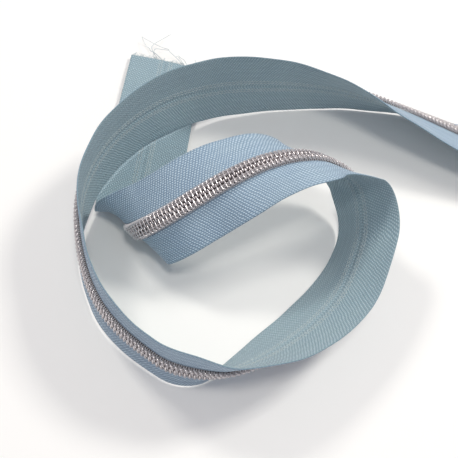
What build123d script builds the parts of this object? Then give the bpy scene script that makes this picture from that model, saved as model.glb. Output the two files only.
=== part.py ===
"""A coil zipper, cut off a longer one and left lying in a loose loop.

The chain is closed. It lies on a table: from its top end, where the slider is,
it runs straight and flat, turns up on edge, goes once round a loop, rolls over
into a raised tongue with the teeth upwards, folds back under itself, and ends
in a raw cut end, which the far wall of the loop stands on.

Axes: +X along the longest extent, +Z up from the table, with the origin on the
table under the middle of the whole zipper. Left and right are as seen from the
teeth side with the slider at the top.
"""

import os
from math import ceil, cos, radians, sin

from build123d import *

# ---------------------------------------------------------------- the chain, in mm
TAPE_WIDTH = 15.4          # from the chain's centre line to the tape's outer edge
TAPE_THICKNESS = 0.6
TAPE_GAP = 0.1             # from the centre line to the tape's inner edge
BEND_LINE = 3.4            # where a tape bends, just outside its coil

COIL_WIDTH = 3.0           # from the centre line to a coil's outer side
COIL_GAP = 0.06            # from the centre line to a coil's inner side
COIL_TOP = 2.2             # above the middle of the tape's thickness
COIL_CHAMFER = 0.5
CORD_SIZE = 1.1            # the filler cord that each coil is wound on
CORD_CENTRE = 1.6          # from the centre line
STITCH_WIDTH = 0.3
STITCH_HEIGHT = 0.25
STITCH_ROWS = {"inner": 1.5, "outer": 2.1}     # from the centre line
CLEARANCE = 0.04           # between pieces that lie on each other

SECTION_STEP = 3.5         # between lofted sections along the chain
CLOSE_STEP = 1.5           # the same, in the straight run and in tight turns
TIGHT_TURN = 25            # degrees from one span to the next

# ---------------------------------------------------------------- the slider, in mm
COIL_START = 24.0          # all distances are from the tapes' top ends
STOP_LENGTH = 2.8
SLIDER_CENTRE = 30.0
SLIDER_LENGTH = 11.0
OPEN_GAP = 1.45            # how far the slider's post parts each coil from the centre line
OPENING_START = -0.5       # where the coils begin to part, from the slider's centre
OPENING_LENGTH = 5.0
PLATE_BOTTOM = -1.7        # heights above the middle of the tape's thickness
CHANNEL_BOTTOM = -0.55
CHANNEL_TOP = 2.65
PLATE_TOP = 3.7
TAPE_SLOT_TOP = 0.55
CHANNEL_SIDE = 3.3         # half the width of the channel for the closed coil
LUG_LENGTH = 1.0
LUG_POSITION = 2.8         # from the slider's centre
LUG_WIDTH = 2.8
AXLE_HEIGHT = 4.55
AXLE_RADIUS = 0.75
CROWN_WIDTH = 3.2
CROWN_THICKNESS = 0.6
CROWN_BOTTOM = 5.9
SPRING_THICKNESS = 0.3
CLAW_TIP = 2.4
TAB_ARM_GAP = 3.9          # between the pull tab's two arms
TAB_WIDTH = 8.0
TAB_THICKNESS = 1.6
TAB_REACH = 24.0           # from the axle to the end of the pull tab
TAB_PLATE_START = 5.4
EYE_RADIUS = 2.0
EYE_POSITION = 20.0        # from the axle

# ---------------------------------------------------------------- the route, in mm
# Each station is a point of the chain's centre line, the direction from the
# left edge to the right edge there, and the angle by which the two tapes bend
# away from the teeth.
STATIONS = [
    (229, -23, 2, -5, -12, 0, 0),
    (157, 7, 2, -5, -12, 0, 0),
    (145, 12, 2.5, -12, -28, 1, 2),
    (133, 17, 3.5, -12, -28, 3, 4),
    (121, 22, 5, -11, -28, 6, 6),
    (109, 27, 7, -9, -27, 10, 8),
    (87, 36, 10.5, -7, -24, 16, 14),
    (65, 45, 13.5, -4, -19, 23, 16),
    (43, 52, 15.5, -1, -10, 28, 12),
    (19, 54.5, 16, 0, -1, 30, 2),
    (-5, 52.4, 16.7, 1, 3, 30, 2),
    (-26.5, 42, 19, 0, 3, 30, 8),
    (-43.2, 25, 18.9, 0, 0, 30, 8),
    (-51.1, 4, 18, 1.7, 0, 30, 4),
    (-49, -19, 16, 5, 1, 29, -6),
    (-39.5, -40, 16, 3, 2, 30, -8),
    (-22, -56, 16, 1, 0.5, 30, -8),
    (-11, -60.1, 16, 3, -1.5, 29.5, -4),
    (1, -59.6, 14.9, 9, -9.5, 26.5, 4),
    (19.5, -49, 11.5, 15, -16, 21, 4),
    (36, -33, 10.5, 18, -15, 19, -6),
    (45.2, -13, 13.7, 17.6, -7, 23, -22),
    (46.2, -2, 16.2, 15.6, -8, 24, -20),
    (43.7, 6, 20.7, 15.6, -14.5, 21.5, 0),
    (33.2, 9.8, 28.8, 14, -20, 17.5, 16),
    (23, 7.5, 34.5, 12, -25, 11, 14),
    (12, 4, 36, 11, -28, 3, 8),
    (1, -1, 35, 13, -27, -4, 12),
    (-9, -5, 31, 14, -25, -10, 12),
    (-19.5, -9, 25.5, 14, -24, -11, 14),
    (-29, -10.2, 18.3, 16, -22, -13, 24),
    (-33.8, -6, 9.8, 20, -14.5, -12.5, 20),
    (-33.8, 4.2, 3.3, 28, -6, -1, 6),
    (-34.1, 14, 2.5, 30, -4, 0, -5),
    (-31.5, 36.5, 2.5, 30, -4, 0, -6),
    (-26, 79.5, 2.5, 30, -4, 0, -6),
]
# The point of the table that is the origin, in the stations' own coordinates
ORIGIN = Vector(90.66, 14.17, -0.155)


class Frame:
    """A cross-section's place: its origin and its along, across and up directions."""

    def __init__(self, origin, along, across, bend, distance):
        self.origin = origin
        self.along = along.normalized()
        self.across = (across - self.along * across.dot(self.along)).normalized()
        self.up = self.along.cross(self.across)
        self.half_bend = radians(bend / 2)
        self.distance = distance

    def point(self, side, out, height):
        """A point at out from the centre line, on the left (-1) or the right (1)."""
        if out <= BEND_LINE:
            return self.origin + self.across * (side * out) + self.up * height
        wing = self.across * (side * cos(self.half_bend)) - self.up * sin(self.half_bend)
        wing_up = self.across * (side * sin(self.half_bend)) + self.up * cos(self.half_bend)
        knee = self.origin + self.across * (side * BEND_LINE)
        return knee + wing * (out - BEND_LINE) + wing_up * height


def smooth(before, start, end, after, lengths, t):
    """Cubic interpolation from start to end, with each slope taken from its neighbours."""
    length_before, length, length_after = lengths
    slope_start = (end - before) * (length / (length_before + length))
    slope_end = (after - start) * (length / (length + length_after))
    return (
        start * (2 * t**3 - 3 * t**2 + 1)
        + slope_start * (t**3 - 2 * t**2 + t)
        + end * (3 * t**2 - 2 * t**3)
        + slope_end * (t**3 - t**2)
    )


def chain_frames():
    """The frames of the chain's cross-sections, from its top end to its cut end."""
    points = [Vector(*s[:3]) - ORIGIN for s in STATIONS]
    directions = [Vector(*s[3:6]).normalized() for s in STATIONS]
    bends = [s[6] for s in STATIONS]
    spans = [b - a for a, b in zip(points, points[1:])]
    last = len(spans) - 1
    rows = []
    for i, span in enumerate(spans):
        first, end = max(i - 1, 0), min(i + 2, last + 1)
        lengths = (spans[i - 1].length if i else 0, span.length, spans[i + 1].length if i < last else 0)
        turn = max(span.get_angle(spans[first]), span.get_angle(spans[min(i + 1, last)]))
        step = CLOSE_STEP if turn > TIGHT_TURN or i == 0 else SECTION_STEP
        count = ceil(span.length / step)
        for k in range(count + (i == last)):
            place = (lengths, k / count)
            rows.append(
                [smooth(values[first], values[i], values[i + 1], values[end], *place)
                 for values in (points, directions, bends)]
            )
    frames = []
    distance = 0
    for k, (point, direction, bend) in enumerate(rows):
        before, after = rows[max(k - 1, 0)][0], rows[min(k + 1, len(rows) - 1)][0]
        distance += (point - before).length
        frames.append(Frame(point, after - before, direction, bend, distance))
    return frames


def opening(ahead):
    """How far each coil stands off the centre line, ahead of the slider's centre."""
    t = min(max((ahead - OPENING_START) / OPENING_LENGTH, 0), 1)
    return OPEN_GAP * (3 * t**2 - 2 * t**3)


def strand(frames, side, outline):
    """A solid that runs along the chain: its outline is (out, height) points."""
    wires = []
    for frame in frames:
        shift = opening(SLIDER_CENTRE - frame.distance)
        corners = [frame.point(side, out + shift, height) for out, height in outline]
        wires.append(Wire.make_polygon(corners, close=True))
    return Solid.make_loft(wires)


def tape(frames, side):
    half = TAPE_THICKNESS / 2
    outs = (TAPE_GAP, BEND_LINE, TAPE_WIDTH)
    outline = [(out, -half) for out in outs] + [(out, half) for out in reversed(outs)]
    return strand(frames, side, outline)


def coil(frames, side):
    """The envelope of one coil: a channel section that straddles its filler cord."""
    bottom = TAPE_THICKNESS / 2 + CLEARANCE
    half_channel = CORD_SIZE / 2 + CLEARANCE
    channel_top = bottom + CORD_SIZE + 2 * CLEARANCE
    inner, outer = CORD_CENTRE - half_channel, CORD_CENTRE + half_channel
    outline = [
        (COIL_GAP, bottom),
        (inner, bottom),
        (inner, channel_top),
        (outer, channel_top),
        (outer, bottom),
        (COIL_WIDTH, bottom),
        (COIL_WIDTH, COIL_TOP - COIL_CHAMFER),
        (COIL_WIDTH - COIL_CHAMFER, COIL_TOP),
        (COIL_GAP + COIL_CHAMFER, COIL_TOP),
        (COIL_GAP, COIL_TOP - COIL_CHAMFER),
    ]
    return strand(frames, side, outline)


def filler_cord(frames, side):
    """The cord inside the coil, eight-sided."""
    half = CORD_SIZE / 2
    flat = half * 0.41
    middle = TAPE_THICKNESS / 2 + 2 * CLEARANCE + half
    corners = [(half, -flat), (half, flat), (flat, half), (-flat, half)]
    outline = corners + [(-out, -up) for out, up in corners]
    return strand(frames, side, [(CORD_CENTRE + out, middle + up) for out, up in outline])


def stitching(frames, side, start):
    """One row of the sewing thread that holds the coil to its tape."""
    low, high = COIL_TOP + CLEARANCE, COIL_TOP + CLEARANCE + STITCH_HEIGHT
    end = start + STITCH_WIDTH
    return strand(frames, side, [(start, low), (end, low), (end, high), (start, high)])


def frayed_threads(frame):
    """Loose threads at the cut end: where each starts, how far it goes, drifts and lifts."""
    threads = []
    for out, reach, drift, lift in (
        (-11.5, 9.0, 5.0, 3.0),
        (-9.0, 12.0, -4.0, 1.0),
        (-5.5, 7.0, 3.0, 2.5),
        (-2.0, 10.0, 6.0, 0.5),
        (4.0, 6.0, -3.0, 2.0),
        (9.5, 8.0, 2.0, 1.0),
    ):
        start = frame.point(1 if out > 0 else -1, abs(out), 0) + frame.along * 0.1
        middle = start + frame.along * (reach / 2) + frame.across * (drift * 0.2) - frame.up * (lift * 0.7)
        end = start + frame.along * reach + frame.across * drift - frame.up * lift
        path = Edge.make_three_point_arc(start, middle, end)
        profile = Plane(origin=start, z_dir=path.tangent_at(0)) * Circle(0.12)
        threads.append(sweep(profile, path=path).solid())
    return Compound(children=threads)


def outline_face(half_outline):
    """A face from one half of its outline, mirrored in the slider's centre line."""
    other = [(x, -y) for x, y in reversed(half_outline) if y]
    return make_face(Polyline(*half_outline, *other, close=True))


def slider_body():
    """Two plates joined by the post that parts the coils, with lugs for the crown."""
    end = SLIDER_LENGTH / 2
    plan = outline_face(
        [(-end, 3.1), (-end + 0.8, 4.2), (-3.2, 4.5), (0.5, 4.6), (3.0, 5.5), (end - 0.9, 5.9), (end, 5.2)]
    )
    block = extrude(fillet(plan.vertices(), 0.5), PLATE_TOP - PLATE_BOTTOM)
    block = fillet(block.faces().sort_by(Axis.Z)[-1].edges(), 0.4)
    block = fillet(block.faces().sort_by(Axis.Z)[0].edges(), 0.3)
    block = Pos(0, 0, PLATE_BOTTOM) * block
    stops = [-end - 1, OPENING_START, 1, 2.2, 3.4, OPENING_START + OPENING_LENGTH, end + 1]
    channel_plan = outline_face([(x, CHANNEL_SIDE + opening(x)) for x in stops])
    channel = Pos(0, 0, CHANNEL_BOTTOM) * extrude(channel_plan, CHANNEL_TOP - CHANNEL_BOTTOM)
    slot_height = TAPE_SLOT_TOP - CHANNEL_BOTTOM
    slot = Pos(0, 0, CHANNEL_BOTTOM + slot_height / 2) * Box(SLIDER_LENGTH + 2, 14, slot_height)
    post_plan = outline_face([(1.0, 0), (2.2, 0.5), (3.6, 0.9), (4.6, 0.9), (end - 0.3, 0.4)])
    post = Pos(0, 0, CHANNEL_BOTTOM - 0.2) * extrude(post_plan, CHANNEL_TOP - CHANNEL_BOTTOM + 0.4)
    lug_height = CROWN_BOTTOM - PLATE_TOP - CLEARANCE
    front_lug = Pos(LUG_POSITION, 0, PLATE_TOP - 0.2 + lug_height / 2) * Box(
        LUG_LENGTH, LUG_WIDTH, lug_height + 0.4 - 2 * CLEARANCE
    )
    rear_height = lug_height - SPRING_THICKNESS - 2 * CLEARANCE
    rear_lug = Pos(-LUG_POSITION, 0, PLATE_TOP - 0.2 + rear_height / 2) * Box(
        LUG_LENGTH, LUG_WIDTH, rear_height + 0.4 - 2 * CLEARANCE
    )
    claw_hole = Pos(1.7, 0, (CHANNEL_TOP + PLATE_TOP) / 2) * Box(0.7, 1.4, 2)
    return (block - channel - slot + post + front_lug + rear_lug - claw_hole).solid()


def slider_crown():
    """The bent cap over the pull tab's axle, its ends outside the two lugs."""
    inside = LUG_POSITION + LUG_LENGTH / 2 + CLEARANCE
    foot = PLATE_TOP + CLEARANCE
    top = CROWN_BOTTOM + CROWN_THICKNESS
    outside = inside + CROWN_THICKNESS
    profile = Polyline(
        (-outside, foot), (-outside, top), (outside, top), (outside, foot),
        (inside, foot), (inside, CROWN_BOTTOM), (-inside, CROWN_BOTTOM), (-inside, foot), close=True,
    )
    strip = extrude(Plane.XZ * make_face(profile), CROWN_WIDTH / 2, both=True)
    bends = strip.edges().filter_by(Axis.Y).group_by(Axis.Z)[-1]
    return fillet(bends, 0.5).solid()


def lock_spring():
    """The leaf spring under the crown, with the claw that locks the coil."""
    top = CROWN_BOTTOM - CLEARANCE
    bottom = top - SPRING_THICKNESS
    claw = 1.7
    half = SPRING_THICKNESS / 2
    profile = Polyline(
        (-LUG_POSITION - 0.4, bottom), (-LUG_POSITION - 0.4, top), (claw + half, top),
        (claw + half, CLAW_TIP), (claw - half, CLAW_TIP), (claw - half, bottom), close=True,
    )
    return extrude(Plane.XZ * make_face(profile), 0.5, both=True).solid()


def pull_tab():
    """The pull, flat along the chain behind the slider, with its axle and its eye."""
    half_axle = TAB_ARM_GAP / 2 + 0.6
    axle = Rot(90, 0, 0) * Cylinder(AXLE_RADIUS, 2 * half_axle)
    arm_length = TAB_PLATE_START + 0.5
    arm_width = 1.3
    arms = [
        Pos(-arm_length / 2, side * (TAB_ARM_GAP + arm_width) / 2, 0)
        * Box(arm_length, arm_width, TAB_THICKNESS)
        for side in (-1, 1)
    ]
    arm_ends = [
        Pos(0, side * (TAB_ARM_GAP + arm_width) / 2, 0)
        * Rot(90, 0, 0) * Cylinder(TAB_THICKNESS / 2, arm_width)
        for side in (-1, 1)
    ]
    length = TAB_REACH - TAB_PLATE_START
    plate_plan = Pos(-(TAB_PLATE_START + TAB_REACH) / 2, 0) * RectangleRounded(length, TAB_WIDTH, 1.8)
    plate_plan -= Pos(-EYE_POSITION, 0) * Circle(EYE_RADIUS)
    plate = Pos(0, 0, -TAB_THICKNESS / 2) * extrude(plate_plan, TAB_THICKNESS)
    tab = plate + axle + arms + arm_ends
    return (Pos(0, 0, AXLE_HEIGHT) * tab).solid()


def top_stop(side):
    """A metal clip, crimped over the tape's inner edge where the coil ends."""
    inner = side * (OPEN_GAP + TAPE_GAP - CLEARANCE)
    block = Pos(0, inner + side * 0.75, 0.45) * Box(STOP_LENGTH, 2.9, 2.9)
    block = fillet(block.edges().filter_by(Axis.X), 0.5)
    slot_height = TAPE_THICKNESS + 2 * CLEARANCE
    slot = Pos(0, inner + side * 5, 0) * Box(STOP_LENGTH + 1, 10, slot_height)
    return (block - slot).solid()


def on_chain(distance):
    """The place of a piece on the straight run, with its own +X towards the top end."""
    top_end, bottom_end = (Vector(*s[:3]) - ORIGIN for s in STATIONS[:2])
    down = (bottom_end - top_end).normalized()
    return Plane(origin=top_end + down * distance, x_dir=-down, z_dir=(0, 0, 1)).location


def make_parts():
    frames = chain_frames()
    coil_frames = [f for f in frames if f.distance > COIL_START - 0.01]
    parts = {}
    for name, side in (("left", -1), ("right", 1)):
        parts[f"{name}_tape"] = tape(frames, side)
        parts[f"{name}_coil"] = coil(coil_frames, side)
        parts[f"{name}_filler_cord"] = filler_cord(coil_frames, side)
        for row, start in STITCH_ROWS.items():
            parts[f"{name}_{row}_stitching"] = stitching(coil_frames, side, start)
        # +Y of a piece on the chain is towards the left tape
        stop_place = on_chain(COIL_START - 0.1 - STOP_LENGTH / 2)
        parts[f"{name}_top_stop"] = top_stop(-side).moved(stop_place)
    parts["frayed_threads"] = frayed_threads(frames[-1])
    slider = {
        "slider_body": slider_body(),
        "slider_crown": slider_crown(),
        "lock_spring": lock_spring(),
        "pull_tab": pull_tab(),
    }
    for name, piece in slider.items():
        parts[name] = piece.moved(on_chain(SLIDER_CENTRE))
    return parts


if __name__ == "__main__":
    os.makedirs("parts", exist_ok=True)
    made = make_parts()
    for node, piece in made.items():
        export_step(piece, f"parts/{node}.step")
    box = Compound(children=list(made.values())).bounding_box()
    print("lowest corner", box.min, "highest corner", box.max)
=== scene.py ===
"""A coil zipper cut off a longer one, lying in a loose loop on a pale table.

The two tapes, the interlocked coils, their filler cords, the sewing threads
and the loose threads of the cut end are made here, along the same line as the
CAD part's chain. The slider, the pull tab and the stops are the CAD part's own
solids with a metal finish. Lengths are in millimetres until they are handed
to Blender, which works in metres.
"""

import math

import bpy
import numpy as np
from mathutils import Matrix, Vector


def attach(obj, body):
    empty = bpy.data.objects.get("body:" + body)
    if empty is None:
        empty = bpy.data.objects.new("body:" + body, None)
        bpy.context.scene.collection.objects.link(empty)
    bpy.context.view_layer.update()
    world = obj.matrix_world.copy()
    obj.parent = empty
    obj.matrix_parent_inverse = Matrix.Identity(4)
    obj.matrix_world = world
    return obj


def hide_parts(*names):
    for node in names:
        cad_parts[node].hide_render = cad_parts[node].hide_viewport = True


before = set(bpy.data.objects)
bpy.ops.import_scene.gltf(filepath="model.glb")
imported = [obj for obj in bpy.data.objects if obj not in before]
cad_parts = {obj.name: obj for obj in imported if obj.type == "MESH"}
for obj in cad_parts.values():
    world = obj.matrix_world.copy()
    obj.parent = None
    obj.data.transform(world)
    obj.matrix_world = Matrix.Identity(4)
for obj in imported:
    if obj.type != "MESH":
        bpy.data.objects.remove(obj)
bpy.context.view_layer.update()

MM = 0.001                 # metres in a millimetre
UP = np.array([0.0, 0.0, 1.0])
rng = np.random.default_rng(11)

# ------------------------------------------------------------------ dimensions, as in the CAD part
TAPE_WIDTH = 15.4          # from the chain's centre line to the tape's outer edge
TAPE_THICKNESS = 0.6
TAPE_GAP = 0.1             # from the centre line to the tape's inner edge
BEND_LINE = 3.4            # where a tape bends, just outside its coil
COIL_WIDTH = 3.0           # from the centre line to a coil's outer side
COIL_TOP = 2.2             # above the middle of the tape's thickness
CORD_CENTRE = 1.6          # the filler cord's middle, from the centre line
COIL_START = 24.0          # distances are from the tapes' top ends
SLIDER_CENTRE = 30.0
OPEN_GAP = 1.45            # how far the slider's post parts each coil from the centre line
OPENING_START = -0.5       # where the coils begin to part, from the slider's centre
OPENING_LENGTH = 5.0

# Each station is a point of the chain's centre line, the direction from the
# left edge to the right edge, and the angle in degrees by which the chain
# folds there, half of it in each tape.
STATIONS = np.array([
    (229, -23, 2, -5, -12, 0, 0),
    (157, 7, 2, -5, -12, 0, 0),
    (145, 12, 2.5, -12, -28, 1, 2),
    (133, 17, 3.5, -12, -28, 3, 4),
    (121, 22, 5, -11, -28, 6, 6),
    (109, 27, 7, -9, -27, 10, 8),
    (87, 36, 10.5, -7, -24, 16, 14),
    (65, 45, 13.5, -4, -19, 23, 16),
    (43, 52, 15.5, -1, -10, 28, 12),
    (19, 54.5, 16, 0, -1, 30, 2),
    (-5, 52.4, 16.7, 1, 3, 30, 2),
    (-26.5, 42, 19, 0, 3, 30, 8),
    (-43.2, 25, 18.9, 0, 0, 30, 8),
    (-51.1, 4, 18, 1.7, 0, 30, 4),
    (-49, -19, 16, 5, 1, 29, -6),
    (-39.5, -40, 16, 3, 2, 30, -8),
    (-22, -56, 16, 1, 0.5, 30, -8),
    (-11, -60.1, 16, 3, -1.5, 29.5, -4),
    (1, -59.6, 14.9, 9, -9.5, 26.5, 4),
    (19.5, -49, 11.5, 15, -16, 21, 4),
    (36, -33, 10.5, 18, -15, 19, -6),
    (45.2, -13, 13.7, 17.6, -7, 23, -22),
    (46.2, -2, 16.2, 15.6, -8, 24, -20),
    (43.7, 6, 20.7, 15.6, -14.5, 21.5, 0),
    (33.2, 9.8, 28.8, 14, -20, 17.5, 16),
    (23, 7.5, 34.5, 12, -25, 11, 14),
    (12, 4, 36, 11, -28, 3, 8),
    (1, -1, 35, 13, -27, -4, 12),
    (-9, -5, 31, 14, -25, -10, 12),
    (-19.5, -9, 25.5, 14, -24, -11, 14),
    (-29, -10.2, 18.3, 16, -22, -13, 24),
    (-33.8, -6, 9.8, 20, -14.5, -12.5, 20),
    (-33.8, 4.2, 3.3, 28, -6, -1, 6),
    (-34.1, 14, 2.5, 30, -4, 0, -5),
    (-31.5, 36.5, 2.5, 30, -4, 0, -6),
    (-26, 79.5, 2.5, 30, -4, 0, -6),
], float)
ORIGIN = np.array([90.66, 14.17, -0.155])     # the part's origin, among the stations

# ------------------------------------------------------------------ the camera
CAMERA_TILT = math.radians(59.8)     # above the table
CAMERA_DISTANCE = 285.4
CAMERA_LENS = 61.0
SENSOR_WIDTH = 36.0

target = Vector(-ORIGIN) * MM        # the stations' own zero, inside the loop
back = Vector((0, -math.cos(CAMERA_TILT), math.sin(CAMERA_TILT)))
camera_data = bpy.data.cameras.new("camera")
camera_data.lens = CAMERA_LENS
camera_data.sensor_width = SENSOR_WIDTH
camera_data.clip_start = 0.01
camera = bpy.data.objects.new("camera", camera_data)
camera.location = target + back * CAMERA_DISTANCE * MM
camera.rotation_euler = (-back).to_track_quat("-Z", "Y").to_euler()
bpy.context.collection.objects.link(camera)
bpy.context.scene.camera = camera
bpy.context.scene.view_settings.view_transform = "Standard"

# ------------------------------------------------------------------ the chain's line
BEND_SOFTNESS = 1.0        # the bend, sharp in CAD, is rounded over this much on each side


def unit(vectors):
    """The same directions with a length of one."""
    return vectors / np.linalg.norm(vectors, axis=-1, keepdims=True)


class Chain:
    """The chain's cross-sections: where they are and how they are turned."""

    def __init__(self, step=0.5):
        """Cross-sections about a step apart, on a smooth cubic from station to station."""
        values = np.hstack([STATIONS[:, :3] - ORIGIN, unit(STATIONS[:, 3:6]), STATIONS[:, 6:]])
        spans = np.linalg.norm(np.diff(values[:, :3], axis=0), axis=1)
        last = len(spans) - 1
        rows = []
        for i, length in enumerate(spans):
            start, end = values[i], values[i + 1]
            before, after = values[max(i - 1, 0)], values[min(i + 2, last + 1)]
            length_before = spans[i - 1] if i else 0
            length_after = spans[i + 1] if i < last else 0
            slope_start = (end - before) * (length / (length_before + length))
            slope_end = (after - start) * (length / (length + length_after))
            count = math.ceil(length / step)
            t = (np.arange(count + (i == last)) / count)[:, None]
            rows.append(
                start * (2 * t**3 - 3 * t**2 + 1)
                + slope_start * (t**3 - 2 * t**2 + t)
                + end * (3 * t**2 - 2 * t**3)
                + slope_end * (t**3 - t**2)
            )
        rows = np.vstack(rows)
        points = rows[:, :3]
        steps = np.linalg.norm(np.diff(points, axis=0), axis=1)
        self.distance = np.concatenate([[0], np.cumsum(steps)])
        self.length = self.distance[-1]
        along = unit(np.gradient(points, axis=0))
        self.columns = np.hstack([points, along, rows[:, 3:6], np.radians(rows[:, 6:] / 2)])

    def section(self, distance):
        """The cross-section there: its centre, its three axes and the fold of each tape."""
        inside = np.clip(distance, 0, self.length)
        values = np.stack([np.interp(inside, self.distance, c) for c in self.columns.T], -1)
        along = unit(values[..., 3:6])
        across = values[..., 6:9]
        across = unit(across - along * (across * along).sum(-1, keepdims=True))
        up = np.cross(along, across)
        centre = values[..., :3] + along * (distance - inside)[..., None]
        return centre, along, across, up, values[..., 9:10]

    def place(self, distance, side, out, height):
        """Points at a distance along the chain, on the left (-1) or the right (1)."""
        distance, out, height = np.broadcast_arrays(*(np.asarray(v, float) for v in (distance, out, height)))
        centre, along, across, up, angle = self.section(distance)
        out = out + opening(SLIDER_CENTRE - distance)
        past = out - BEND_LINE
        soft = BEND_SOFTNESS
        turned = np.clip((past + soft) / (2 * soft), 0, 1)
        beyond = np.where(np.abs(past) < soft, (past + soft) ** 2 / (4 * soft), np.maximum(past, 0))
        wing = across * (side * np.cos(angle)) - up * np.sin(angle)
        tilt = angle * turned[..., None]
        normal = across * (side * np.sin(tilt)) + up * np.cos(tilt)
        return (
            centre
            + across * (side * (out - beyond))[..., None]
            + wing * beyond[..., None]
            + normal * height[..., None]
        )

    def along(self, distance):
        """Unit vectors along the chain."""
        return self.section(distance)[1]

    def up(self, distance):
        """Unit vectors up from the chain's tapes."""
        return self.section(distance)[3]


def opening(ahead):
    """How far each coil stands off the centre line, ahead of the slider's centre."""
    t = np.clip((ahead - OPENING_START) / OPENING_LENGTH, 0, 1)
    return OPEN_GAP * (3 * t**2 - 2 * t**3)


chain = Chain()


# ------------------------------------------------------------------ mesh helpers
def mesh_object(name, vertices, faces, weave):
    """A smooth-shaded object from vertices in mm, with the weave's own coordinates on it."""
    mesh = bpy.data.meshes.new(name)
    mesh.from_pydata((vertices * MM).tolist(), [], faces)
    attribute = mesh.attributes.new("weave", "FLOAT_VECTOR", "POINT")
    attribute.data.foreach_set("vector", weave.astype(np.float32).ravel())
    mesh.polygons.foreach_set("use_smooth", [True] * len(mesh.polygons))
    mesh.update()
    made = bpy.data.objects.new(name, mesh)
    bpy.context.collection.objects.link(made)
    return made


def ring_faces(rows, sides):
    """Quads joining rings of vertices, and a face on each end."""
    row = np.arange(rows - 1)[:, None] * sides
    here = np.arange(sides)[None, :]
    following = (here + 1) % sides
    quads = np.stack([row + here, row + following, row + sides + following, row + sides + here], -1)
    faces = quads.reshape(-1, 4).tolist()
    faces.append(list(range(sides - 1, -1, -1)))
    end = (rows - 1) * sides
    faces.append(list(range(end, end + sides)))
    return faces


def tube(points, reference, radius, depth=None, sides=8):
    """Vertices, faces and weave of a tube: its radius along the reference, its depth across it."""
    tangent = unit(np.gradient(points, axis=0))
    first = unit(reference - tangent * (reference * tangent).sum(-1, keepdims=True))
    second = np.cross(tangent, first)
    turn = np.arange(sides) * 2 * np.pi / sides
    radius = np.broadcast_to(radius, len(points))[:, None, None]
    depth = radius if depth is None else np.broadcast_to(depth, len(points))[:, None, None]
    around = (
        first[:, None] * np.cos(turn)[None, :, None] * radius
        + second[:, None] * np.sin(turn)[None, :, None] * depth
    )
    vertices = (points[:, None] + around).reshape(-1, 3)
    run = np.concatenate([[0], np.cumsum(np.linalg.norm(np.diff(points, axis=0), axis=1))])
    weave = np.zeros((len(points), sides, 3))
    weave[..., 0] = run[:, None]
    weave[..., 1] = turn / (2 * np.pi)
    return vertices, ring_faces(len(points), sides), weave.reshape(-1, 3)


def joined(name, tubes):
    """One object from several tubes."""
    vertices, faces, weaves, count = [], [], [], 0
    for part_vertices, part_faces, weave in tubes:
        vertices.append(part_vertices)
        weaves.append(weave)
        faces += [[v + count for v in f] for f in part_faces]
        count += len(part_vertices)
    return mesh_object(name, np.vstack(vertices), faces, np.vstack(weaves))


# ------------------------------------------------------------------ materials
class Nodes:
    """A material under construction, and short ways to add nodes to it."""

    def __init__(self, name):
        self.material = bpy.data.materials.new(name)
        self.material.use_nodes = True
        self.tree = self.material.node_tree
        self.shader = self.tree.nodes["Principled BSDF"]

    def add(self, kind, inputs=None, output=0, **settings):
        node = self.tree.nodes.new("ShaderNode" + kind)
        for key, value in settings.items():
            setattr(node, key, value)
        for key, value in (inputs or {}).items():
            self.put(node.inputs[key], value)
        return node.outputs[output]

    def put(self, socket, value):
        if isinstance(value, bpy.types.NodeSocket):
            self.tree.links.new(value, socket)
        else:
            socket.default_value = value

    def math(self, operation, *values):
        return self.add("Math", dict(enumerate(values)), operation=operation)

    def mix(self, factor, a, b):
        """A mix of two colours, by the colour sockets of Blender's mix node."""
        node = self.tree.nodes.new("ShaderNodeMix")
        node.data_type = "RGBA"
        for socket, value in zip((node.inputs[0], node.inputs[6], node.inputs[7]), (factor, a, b)):
            self.put(socket, value)
        return node.outputs[2]

    def noise(self, vector, scale, detail=2.0, roughness=0.5):
        return self.add(
            "TexNoise", {"Vector": vector, "Scale": scale, "Detail": detail, "Roughness": roughness}
        )

    def stretched(self, vector, scale):
        """Coordinates scaled differently along each axis."""
        return self.add("Mapping", {"Vector": vector, "Scale": scale})

    def weave(self):
        """The weave's own coordinates, together and one by one.

        They are the distance along in mm, then on a tape the distance out in mm
        and on a thread the share of a turn around it, and then the face.
        """
        vector = self.add("Attribute", output=1, attribute_name="weave")
        return vector, *self.add("SeparateXYZ", {0: vector}).node.outputs

    def surface(self, **values):
        """Sets or links the shader's own sockets, by their names in lower case."""
        for key, value in values.items():
            self.put(self.shader.inputs[key.replace("_", " ").title().replace("Ior", "IOR")], value)

    def bump(self, height, strength, distance):
        normal = self.add("Bump", {"Strength": strength, "Distance": distance, "Height": height})
        self.put(self.shader.inputs["Normal"], normal)


def colour(red, green, blue):
    return (red, green, blue, 1.0)


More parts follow.
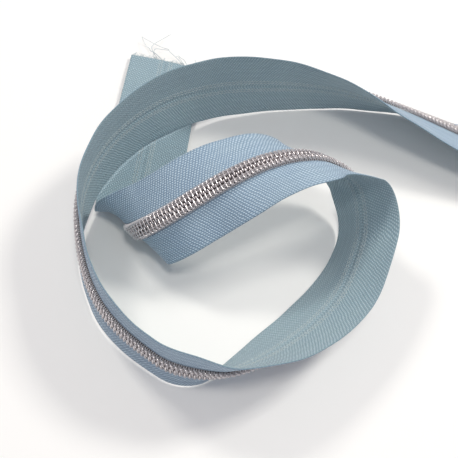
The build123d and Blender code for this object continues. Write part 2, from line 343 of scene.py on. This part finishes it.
def tape_material():
    """Steel-blue woven polyester: rows of small slanted stitches along the tape."""
    row_width, stitch_length = 0.7, 1.1
    stitch_lean, row_shift = 0.25, 0.4         # shares of a stitch's length
    thread_and_shade_reach, selvedge_line = 2.9, 14.5   # distances from the centre line
    n = Nodes("tape_weave")
    vector, distance, across, face = n.weave()
    wander = n.noise(vector, 0.35, 1.0)
    along = n.math("ADD", distance, n.math("MULTIPLY", n.math("SUBTRACT", wander, 0.5), 0.9))
    out = n.math("ABSOLUTE", across)
    rows = n.math("DIVIDE", out, row_width)
    row = n.math("FLOOR", rows)
    place = n.math("FRACT", rows)
    # each stitch leans outwards, and starts a little after its neighbour in the row before
    lean = n.math("MULTIPLY", place, stitch_lean)
    offset = n.math("ADD", n.math("MULTIPLY", row, row_shift), lean)
    phase = n.math("ADD", n.math("DIVIDE", along, stitch_length), offset)
    wave = n.math("COSINE", n.math("MULTIPLY", phase, 2 * math.pi))
    stitch = n.math("POWER", n.math("MULTIPLY_ADD", wave, 0.5, 0.5), 1.15)
    ridge = n.math("SINE", n.math("MULTIPLY", place, math.pi))
    loops = n.math("MULTIPLY", stitch, n.math("POWER", ridge, 1.7))
    fibre = n.noise(n.stretched(vector, (1.5, 7, 1)), 2.2, 3.0)
    height = n.math("MULTIPLY_ADD", fibre, 0.35, loops)
    # the selvedge is woven tighter and is a little darker
    past_line = n.math("MAXIMUM", n.math("SUBTRACT", out, selvedge_line), 0.0)
    selvedge = n.math("SMOOTH_MIN", past_line, 1.0, 0.2)
    patches = n.noise(vector, 0.12)
    # the pattern is the weave's own, but its contrast is painted: pale highlight on the raised loops, deep
    # blue shade in the hollows between them
    deep = n.mix(patches, colour(0.088, 0.172, 0.295), colour(0.125, 0.218, 0.32))
    pale = n.mix(patches, colour(0.58, 0.73, 0.85), colour(0.66, 0.80, 0.88))
    body = n.mix(n.math("ADD", height, 0.06), deep, pale)
    edged = n.mix(n.math("MULTIPLY", selvedge, 0.45), body, colour(0.18, 0.27, 0.335))
    # the inner edge lies under the coil: painted dark mauve, partly the colour of the threads over it and
    # partly painted shade under the coil
    inner = n.math("LESS_THAN", out, thread_and_shade_reach)
    thread_and_shade_mask = n.math("MULTIPLY", inner, n.math("GREATER_THAN", distance, COIL_START))
    upper = n.math("GREATER_THAN", face, 0.0)
    # painted shade: the back is a little greener and greyer than the front, as shade on the walls that show
    # it
    reverse = n.mix(0.38, edged, colour(0.26, 0.37, 0.335))
    both = n.mix(upper, reverse, edged)
    # painted shade and thread colour on the front's inner edge
    base = n.mix(n.math("MULTIPLY", thread_and_shade_mask, upper), both, colour(0.25, 0.225, 0.235))
    n.surface(
        base_color=base,
        roughness=0.72,
        sheen_weight=0.25,
        sheen_roughness=0.45,
        specular_ior_level=0.35,
    )
    n.bump(height, 0.9, 0.00022)
    return n.material


def coil_material():
    """Metallised nylon: silver, with small flaws in the coating."""
    n = Nodes("silver_coil")
    vector = n.weave()[0]
    flaws = n.noise(n.stretched(vector, (1, 4, 1)), 0.9, 3.0)
    base = n.mix(flaws, colour(0.66, 0.60, 0.60), colour(0.90, 0.85, 0.84))
    n.surface(base_color=base, metallic=0.8, roughness=n.math("MULTIPLY_ADD", flaws, 0.2, 0.16))
    n.bump(flaws, 0.25, 0.00008)
    return n.material


def thread_material(name, dark, pale, twist=0.8):
    """Twisted thread: plies that wind around it, one turn in every twist mm."""
    n = Nodes(name)
    vector, distance, turn, face = n.weave()
    phase = n.math("ADD", n.math("DIVIDE", distance, twist), turn)
    plies = n.math("ABSOLUTE", n.math("SINE", n.math("MULTIPLY", phase, 2 * math.pi)))
    fuzz = n.noise(n.stretched(vector, (4, 3, 1)), 3.0, 3.0)
    height = n.math("MULTIPLY_ADD", fuzz, 0.4, plies)
    # painted shade and highlight: the thread's colour is darker in the grooves between the plies and paler
    # on their crests, here and on the back
    upper = n.mix(height, colour(*dark), colour(*pale))
    # on the tape's back the seam's thread is dyed like the tape
    reverse = n.mix(height, colour(0.27, 0.35, 0.375), colour(0.56, 0.63, 0.63))
    n.surface(
        base_color=n.mix(n.math("LESS_THAN", face, -0.5), upper, reverse),
        roughness=0.75,
        sheen_weight=0.3,
        sheen_roughness=0.5,
    )
    n.bump(height, 0.7, 0.00006)
    return n.material


def cord_material():
    """The braided core of the coil."""
    n = Nodes("filler_braid")
    vector, distance, turn, _ = n.weave()
    around = n.math("MULTIPLY", turn, 3.0)
    one_way, other_way = (
        n.math("SINE", n.math("MULTIPLY", n.math(operation, distance, around), 6.0))
        for operation in ("ADD", "SUBTRACT")
    )
    braid = n.math("MULTIPLY", one_way, other_way)
    fibre = n.noise(n.stretched(vector, (1, 12, 1)), 1.5, 3.0)
    height = n.math("ADD", n.math("MULTIPLY_ADD", braid, 0.5, 0.3), n.math("MULTIPLY", fibre, 0.4))
    # painted shade and highlight: the braid's colour is darker in the grooves between its strands and paler
    # on them
    base = n.mix(height, colour(0.23, 0.205, 0.212), colour(0.46, 0.425, 0.43))
    n.surface(base_color=base, roughness=0.8)
    n.bump(height, 0.6, 0.0001)
    return n.material


def metal_material(name, pale, dark, roughness):
    """Cast or stamped metal with a faintly mottled finish and fine scratches that roughen it."""
    n = Nodes(name)
    coords = n.add("TexCoord", output=3)      # object coordinates, in metres
    scratches = n.noise(n.stretched(coords, (900, 2600, 900)), 1.0, 4.0, 0.6)
    mottle = n.noise(coords, 240.0)
    n.surface(
        base_color=n.mix(mottle, colour(*dark), colour(*pale)),
        metallic=1.0,
        roughness=n.math("MULTIPLY_ADD", scratches, 0.16, roughness),
    )
    n.bump(scratches, 0.2, 0.00002)
    return n.material


# ------------------------------------------------------------------ the tapes
CUT_SLOPE = -0.16          # the cut isn't square: how far it moves along, per mm across
CUT_BACK = 0.3             # how far short of the chain's end its middle is
CUT_RUN = 14.0             # the length over which the rows of the weave end on that slope
TAPE_STEP = 0.7            # between one cross-section of the mesh and the next
RIB_PITCH = 0.45           # between a raised row of the weave and the low one beside it
RIB_TOP = 0.295
RIB_BOTTOM = 0.23


def skewed(distance, side, out):
    """The distance, moved so that the last cross-sections end on the slanting cut."""
    near_end = np.clip((distance - (chain.length - CUT_RUN)) / CUT_RUN, 0, 1)
    ragged = 0.22 * np.sin(out * 5.1 + side) + 0.15 * np.sin(out * 11.7)
    return distance + near_end**2 * (CUT_SLOPE * side * out + 0.35 * ragged - CUT_BACK)


def ripple(distance, side):
    """The slight waviness of a tape's outer edge."""
    return (
        0.11 * np.sin(distance / 4.3 + side)
        + 0.09 * np.sin(distance / 7.9 + 2 * side)
        + 0.06 * np.sin(distance / 2.6 - side)
    )


def tape_profile():
    """(out, height, face) around a tape's cross-section, ribbed outside the coil.

    The inner edges all but meet under the coils, so that no table shows there.
    """
    rows = np.arange(3.6, 14.5, RIB_PITCH)
    ribs = [(out, RIB_TOP if k % 2 else RIB_BOTTOM) for k, out in enumerate(rows)]
    face = (
        [(0.02, 0.2), (TAPE_GAP + 0.05, 0.28), (1.3, 0.28), (2.4, 0.28), (3.1, 0.27)]
        + ribs
        + [(14.75, 0.29), (15.1, 0.28), (15.3, 0.2), (TAPE_WIDTH, 0.07)]
    )
    return [(o, h, 1) for o, h in face] + [(o, -h, -1) for o, h in reversed(face)]


def tape(side, name):
    """One tape: its cross-section carried along the chain to the slanting cut."""
    profile = np.array(tape_profile())
    distance = np.linspace(0, chain.length, int(chain.length / TAPE_STEP))[:, None]
    out, height, face = profile.T
    wave = ripple(distance, side) * np.clip((out - BEND_LINE) / 12, 0, 1) ** 2
    placed = skewed(distance, side, out)
    points = chain.place(placed, side, out, height + wave)
    weave = np.stack(np.broadcast_arrays(distance, out * side, face), -1)
    faces = ring_faces(len(distance), len(profile))
    return mesh_object(name, points.reshape(-1, 3), faces, weave.reshape(-1, 3))


# ------------------------------------------------------------------ the coils
PITCH = 1.5                # from one turn of a coil to the next
LEG_WIDTH = 0.28           # half the filament's width, along the chain
HEAD_WIDENING = 0.03       # what that gains, over the last millimetre before the centre line
LEG_DEPTH = 0.26           # half the filament's thickness
HEAD_REACH = 0.36          # how far the heads' middle line passes the chain's centre line
COIL_MARGIN = 0.6          # from the coil's end to its first or last turn
COIL_CLEARANCE = 0.02      # between the tape and the coil
CORD_HEIGHT = 1.27         # the filler cord's middle, where it fills the wound coil


def coil_turns(side):
    """Where each turn of a coil crosses, the right coil's half a pitch after the left's."""
    first = COIL_START + COIL_MARGIN + (PITCH / 2 if side > 0 else 0)
    return np.arange(first, chain.length - COIL_MARGIN, PITCH)


def coil(side, name):
    """One filament, wound flat: a top leg, the head, a bottom leg, and on to the next turn."""
    per_turn = 16              # points of the filament's line
    crossing = 0.22            # the share of a turn in which the filament moves on along the chain
    turns = coil_turns(side)
    phase = np.arange(len(turns) * per_turn) / per_turn
    # within a turn, q is 0 at the head, and the filament moves on at the outer end, round 0.5
    turn, q = np.floor(phase), phase % 1
    distance = turns[0] + PITCH * (turn + np.clip((q - 0.5) / crossing, -0.5, 0.5))
    angle = 2 * np.pi * q
    c, s = np.cos(angle), np.sin(angle)
    inner, outer = -HEAD_REACH, COIL_WIDTH - LEG_DEPTH
    low, high = TAPE_THICKNESS / 2 + COIL_CLEARANCE + LEG_DEPTH, COIL_TOP - LEG_DEPTH
    # powers below one make the ellipse of the turn squarer
    out = (inner + outer) / 2 - (outer - inner) / 2 * np.sign(c) * np.abs(c) ** 0.55
    height = (low + high) / 2 - (high - low) / 2 * np.sign(s) * np.abs(s) ** 0.6
    points = chain.place(distance, side, out, height)
    width = LEG_WIDTH + HEAD_WIDENING * np.clip(1 - out, 0, 1)
    return mesh_object(name, *tube(points, chain.along(distance), width, LEG_DEPTH))


def filler_cord(side, name):
    """The cord that the coil is wound on."""
    distance = np.arange(COIL_START + 0.2, chain.length - 0.3, 0.75)
    points = chain.place(distance, side, CORD_CENTRE, CORD_HEIGHT)
    return mesh_object(name, *tube(points, chain.up(distance), radius=0.42, depth=0.62, sides=12))


# ------------------------------------------------------------------ the sewing threads
THREAD_CREST = COIL_TOP + 0.04     # the middle of a thread where it lies over a leg


def thread_places(step):
    """Distances along the chain for the points of a sewing thread."""
    return np.arange(COIL_START + 0.3, chain.length - 0.3, step)


def thread_run(side, out, sway, dip):
    """A thread over the coil: over each leg, and down between one leg and the next."""
    first = coil_turns(side)[0]
    distance = thread_places(0.25)
    beat = 2 * np.pi * (distance - first) / PITCH
    height = (THREAD_CREST + dip) / 2 - (THREAD_CREST - dip) / 2 * np.cos(beat)
    lateral = out + sway * np.sin(beat / 2) + 0.05 * np.sin(distance * 3.1)
    points = chain.place(distance, side, lateral, height)
    return tube(points, chain.up(distance), radius=0.08, depth=0.1, sides=6)


def lacing(side):
    """The thread that goes over the coil's outer side to the tape and back, twice a turn."""
    first = coil_turns(side)[0]
    distance = thread_places(0.1)
    # down is 0 on top of the coil, grows round its shoulder, and is 1 at the tape
    down = 0.5 - 0.5 * np.cos(4 * np.pi * (distance - first) / PITCH)
    out = np.interp(down, [0, 0.3, 0.6, 1], [2.6, 2.95, 3.18, 3.38])
    height = np.interp(down, [0, 0.3, 0.6, 1], [1.86, 1.72, 1.2, 0.33])
    points = chain.place(distance, side, out, height)
    return tube(points, chain.along(distance), radius=0.07, sides=6)


def back_stitches(side, out):
    """The same seam on the back of the tape: short stitches that dip into it."""
    distance = thread_places(0.25)
    beat = 2 * np.pi * distance / PITCH
    height = -TAPE_THICKNESS / 2 + 0.02 - 0.1 * np.cos(beat)
    points = chain.place(distance, side, out + 0.22 * np.sin(beat), height)
    vertices, faces, weave = tube(points, chain.up(distance), radius=0.1, depth=0.13, sides=6)
    weave[:, 2] = -1           # marks the reverse
    return vertices, faces, weave


# ------------------------------------------------------------------ the cut end
FIBRES = 150               # short ones, all along the cut
FIBRE_ROOT = 0.4           # how far back inside the tape each of them starts

# Loose threads, by points: mm across, towards the right tape, mm beyond the
# chain's end, and mm off the tapes' back, which is uppermost at this end.
LOOSE_THREADS = [
    [(-1.7, 0.2, 0), (-5, 3, 1.0), (-7.5, 3.8, 1.2), (-8.1, 5.6, 0.8), (-10.3, 7.1, 0.4), (-12.8, 12.5, 0)],
    [
        (7.5, -1.4, 0), (3.2, 2.0, 1.2), (0.3, 4.2, 1.5), (0.3, 5.6, 1), (-2.2, 6.4, 0.5), (-6.5, 8.7, 0),
        (-12.8, 12.4, 0.2),
    ],
    [(-4.0, 1.0, 0), (-7.8, 5.0, 1.4), (-6.4, 8.3, 1), (-3.5, 11.5, 0.5), (-0.6, 14.9, 0.3)],
    [(-5.5, 1.2, 0), (-6.8, 5.8, 0.8), (-3, 5.2, 1), (0.1, 5.5, 0.5)],
    [(8.0, -1.5, 0), (5.6, 0.9, 0.8), (4.4, 2.9, 0.6), (3.2, 2.4, 0.2)],
    [(9.0, -1.6, 0), (7.6, 0.8, 1.0), (5.4, 1.9, 0.8), (4.5, 3.4, 0.3)],
    [(-14.4, 1.8, 0), (-14.0, 3.0, 0.3), (-13.2, 3.6, 0.1)],
    [(12.2, -2.2, 0), (12.8, 0.5, 0.5), (11.5, 2.2, 0.3)],
]


def smooth_line(points):
    """Points on the NURBS line that follows a few points."""
    curve = bpy.data.curves.new("thread_line", "CURVE")
    curve.dimensions = "3D"
    curve.resolution_u = 10
    spline = curve.splines.new("NURBS")
    spline.points.add(len(points) - 1)
    for point, place in zip(spline.points, points):
        point.co = (*place, 1)
    spline.use_endpoint_u = True
    spline.order_u = 3
    holder = bpy.data.objects.new("thread_line", curve)
    bpy.context.collection.objects.link(holder)
    line = bpy.data.meshes.new_from_object(holder)
    found = np.array([v.co for v in line.vertices])
    bpy.data.objects.remove(holder)
    bpy.data.meshes.remove(line)
    bpy.data.curves.remove(curve)
    return found


def side_of(across):
    """Which tape a place across the chain is on: the left (-1) or the right (1)."""
    return 1 if across > 0 else -1


def cut_point(across, beyond, above):
    """A loose thread's point, in the part's frame."""
    return chain.place(chain.length + beyond, side_of(across), abs(across), -above)


def frayed(name):
    """The loose threads, and the short fibres of the cut."""
    tubes = []
    for guide in LOOSE_THREADS:
        points = np.array([cut_point(*p) for p in smooth_line(guide)])
        tubes.append(tube(points, UP, radius=np.linspace(0.13, 0.09, len(points)), sides=6))
    t = np.linspace(0, 1, 5)
    for _ in range(FIBRES):
        across = rng.uniform(-15.0, 15.0)
        reach = rng.uniform(0.3, 1.5) if abs(across) > 1 else 0.3
        drift, lift = rng.normal(0, 0.5), rng.normal(0, 0.3)
        root = chain.length + CUT_SLOPE * across - CUT_BACK - FIBRE_ROOT
        distance = root + (reach + FIBRE_ROOT) * t
        points = chain.place(distance, side_of(across), abs(across) + drift * t**2, lift * t**2)
        tubes.append(tube(points, UP, radius=0.07, sides=5))
    return joined(name, tubes)


# ------------------------------------------------------------------ building the pieces
tape_look = tape_material()
coil_look = coil_material()
cord_look = cord_material()
thread_look = thread_material("sewing_thread", (0.32, 0.30, 0.305), (0.84, 0.81, 0.82))
loose_look = thread_material("loose_thread", (0.30, 0.38, 0.42), (0.62, 0.70, 0.72), 1.2)


def finish_piece(piece, material, node):
    """Gives a piece its material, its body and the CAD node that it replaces."""
    piece.data.materials.append(material)
    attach(piece, "chain")
    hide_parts(node)


for side, word in ((-1, "left"), (1, "right")):
    cloth = tape(side, f"{word}_tape_cloth")
    finish_piece(cloth, tape_look, f"{word}_tape")
    finish_piece(coil(side, f"{word}_coil_turns"), coil_look, f"{word}_coil")
    finish_piece(filler_cord(side, f"{word}_filler_braid"), cord_look, f"{word}_filler_cord")
    seams = {
        "inner": [
            thread_run(side, out=1.45, sway=0.08, dip=1.55),
            back_stitches(side, out=1.6),
        ],
        "outer": [
            thread_run(side, out=2.3, sway=0.1, dip=1.5),
            lacing(side),
            back_stitches(side, out=2.6),
        ],
    }
    for row, threads in seams.items():
        seam = joined(f"{word}_{row}_seam", threads)
        finish_piece(seam, thread_look, f"{word}_{row}_stitching")

finish_piece(frayed("cut_end_threads"), loose_look, "frayed_threads")

# ------------------------------------------------------------------ the metal pieces
EDGE_BREAK = 0.12          # how far each sharp edge is rounded off

slider_look = metal_material("slider_nickel", (0.80, 0.79, 0.775), (0.68, 0.67, 0.66), roughness=0.17)
spring_look = metal_material("spring_steel", (0.68, 0.68, 0.68), (0.58, 0.58, 0.59), roughness=0.2)
stop_look = metal_material("stop_aluminium", (0.84, 0.84, 0.84), (0.75, 0.75, 0.76), roughness=0.24)
METALS = {
    "slider_body": slider_look,
    "slider_crown": slider_look,
    "pull_tab": slider_look,
    "lock_spring": spring_look,
    "left_top_stop": stop_look,
    "right_top_stop": stop_look,
}
for node, look in METALS.items():
    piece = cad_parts[node]
    piece.data.materials.clear()
    piece.data.materials.append(look)
    edges = piece.modifiers.new("broken_edges", "BEVEL")
    edges.width = EDGE_BREAK * MM
    edges.segments = 2
    edges.limit_method = "ANGLE"
    edges.angle_limit = math.radians(40)

# ------------------------------------------------------------------ the table and the light
FLOOR_REACH = 3.0          # metres from the middle to each side

floor_mesh = bpy.data.meshes.new("floor")
corners = [(x * FLOOR_REACH, y * FLOOR_REACH, 0) for x, y in ((-1, -1), (1, -1), (1, 1), (-1, 1))]
floor_mesh.from_pydata(corners, [], [(0, 1, 2, 3)])
floor = bpy.data.objects.new("floor", floor_mesh)
bpy.context.collection.objects.link(floor)
paper = Nodes("pale_table")
paper.surface(base_color=colour(0.94, 0.93, 0.905), roughness=0.75)
floor_mesh.materials.append(paper.material)

world = bpy.data.worlds.new("studio")
bpy.context.scene.world = world
world.use_nodes = True
background = world.node_tree.nodes["Background"]
background.inputs["Color"].default_value = colour(0.82, 0.825, 0.95)
background.inputs["Strength"].default_value = 0.4


def area_light(name, place, power, size, tint):
    """A square light, placed in metres from the camera's target and aimed at it."""
    data = bpy.data.lights.new(name, "AREA")
    data.energy = power
    data.size = size
    data.color = tint
    light = bpy.data.objects.new(name, data)
    light.location = target + Vector(place)
    light.rotation_euler = Vector(place).to_track_quat("Z", "Y").to_euler()
    bpy.context.collection.objects.link(light)


area_light("lamp_right", (0.62, 0.3, 0.72), power=4.3, size=0.2, tint=(1.0, 0.975, 0.915))
area_light("lamp_left", (-0.42, 0.52, 0.8), power=3.2, size=0.2, tint=(1.0, 0.975, 0.91))
area_light("lamp_above", (0.1, -0.2, 1.0), power=2.4, size=0.18, tint=(1.0, 0.975, 0.92))
area_light("window", (0.0, -0.7, 0.8), power=0.6, size=0.6, tint=(1.0, 0.98, 0.95))
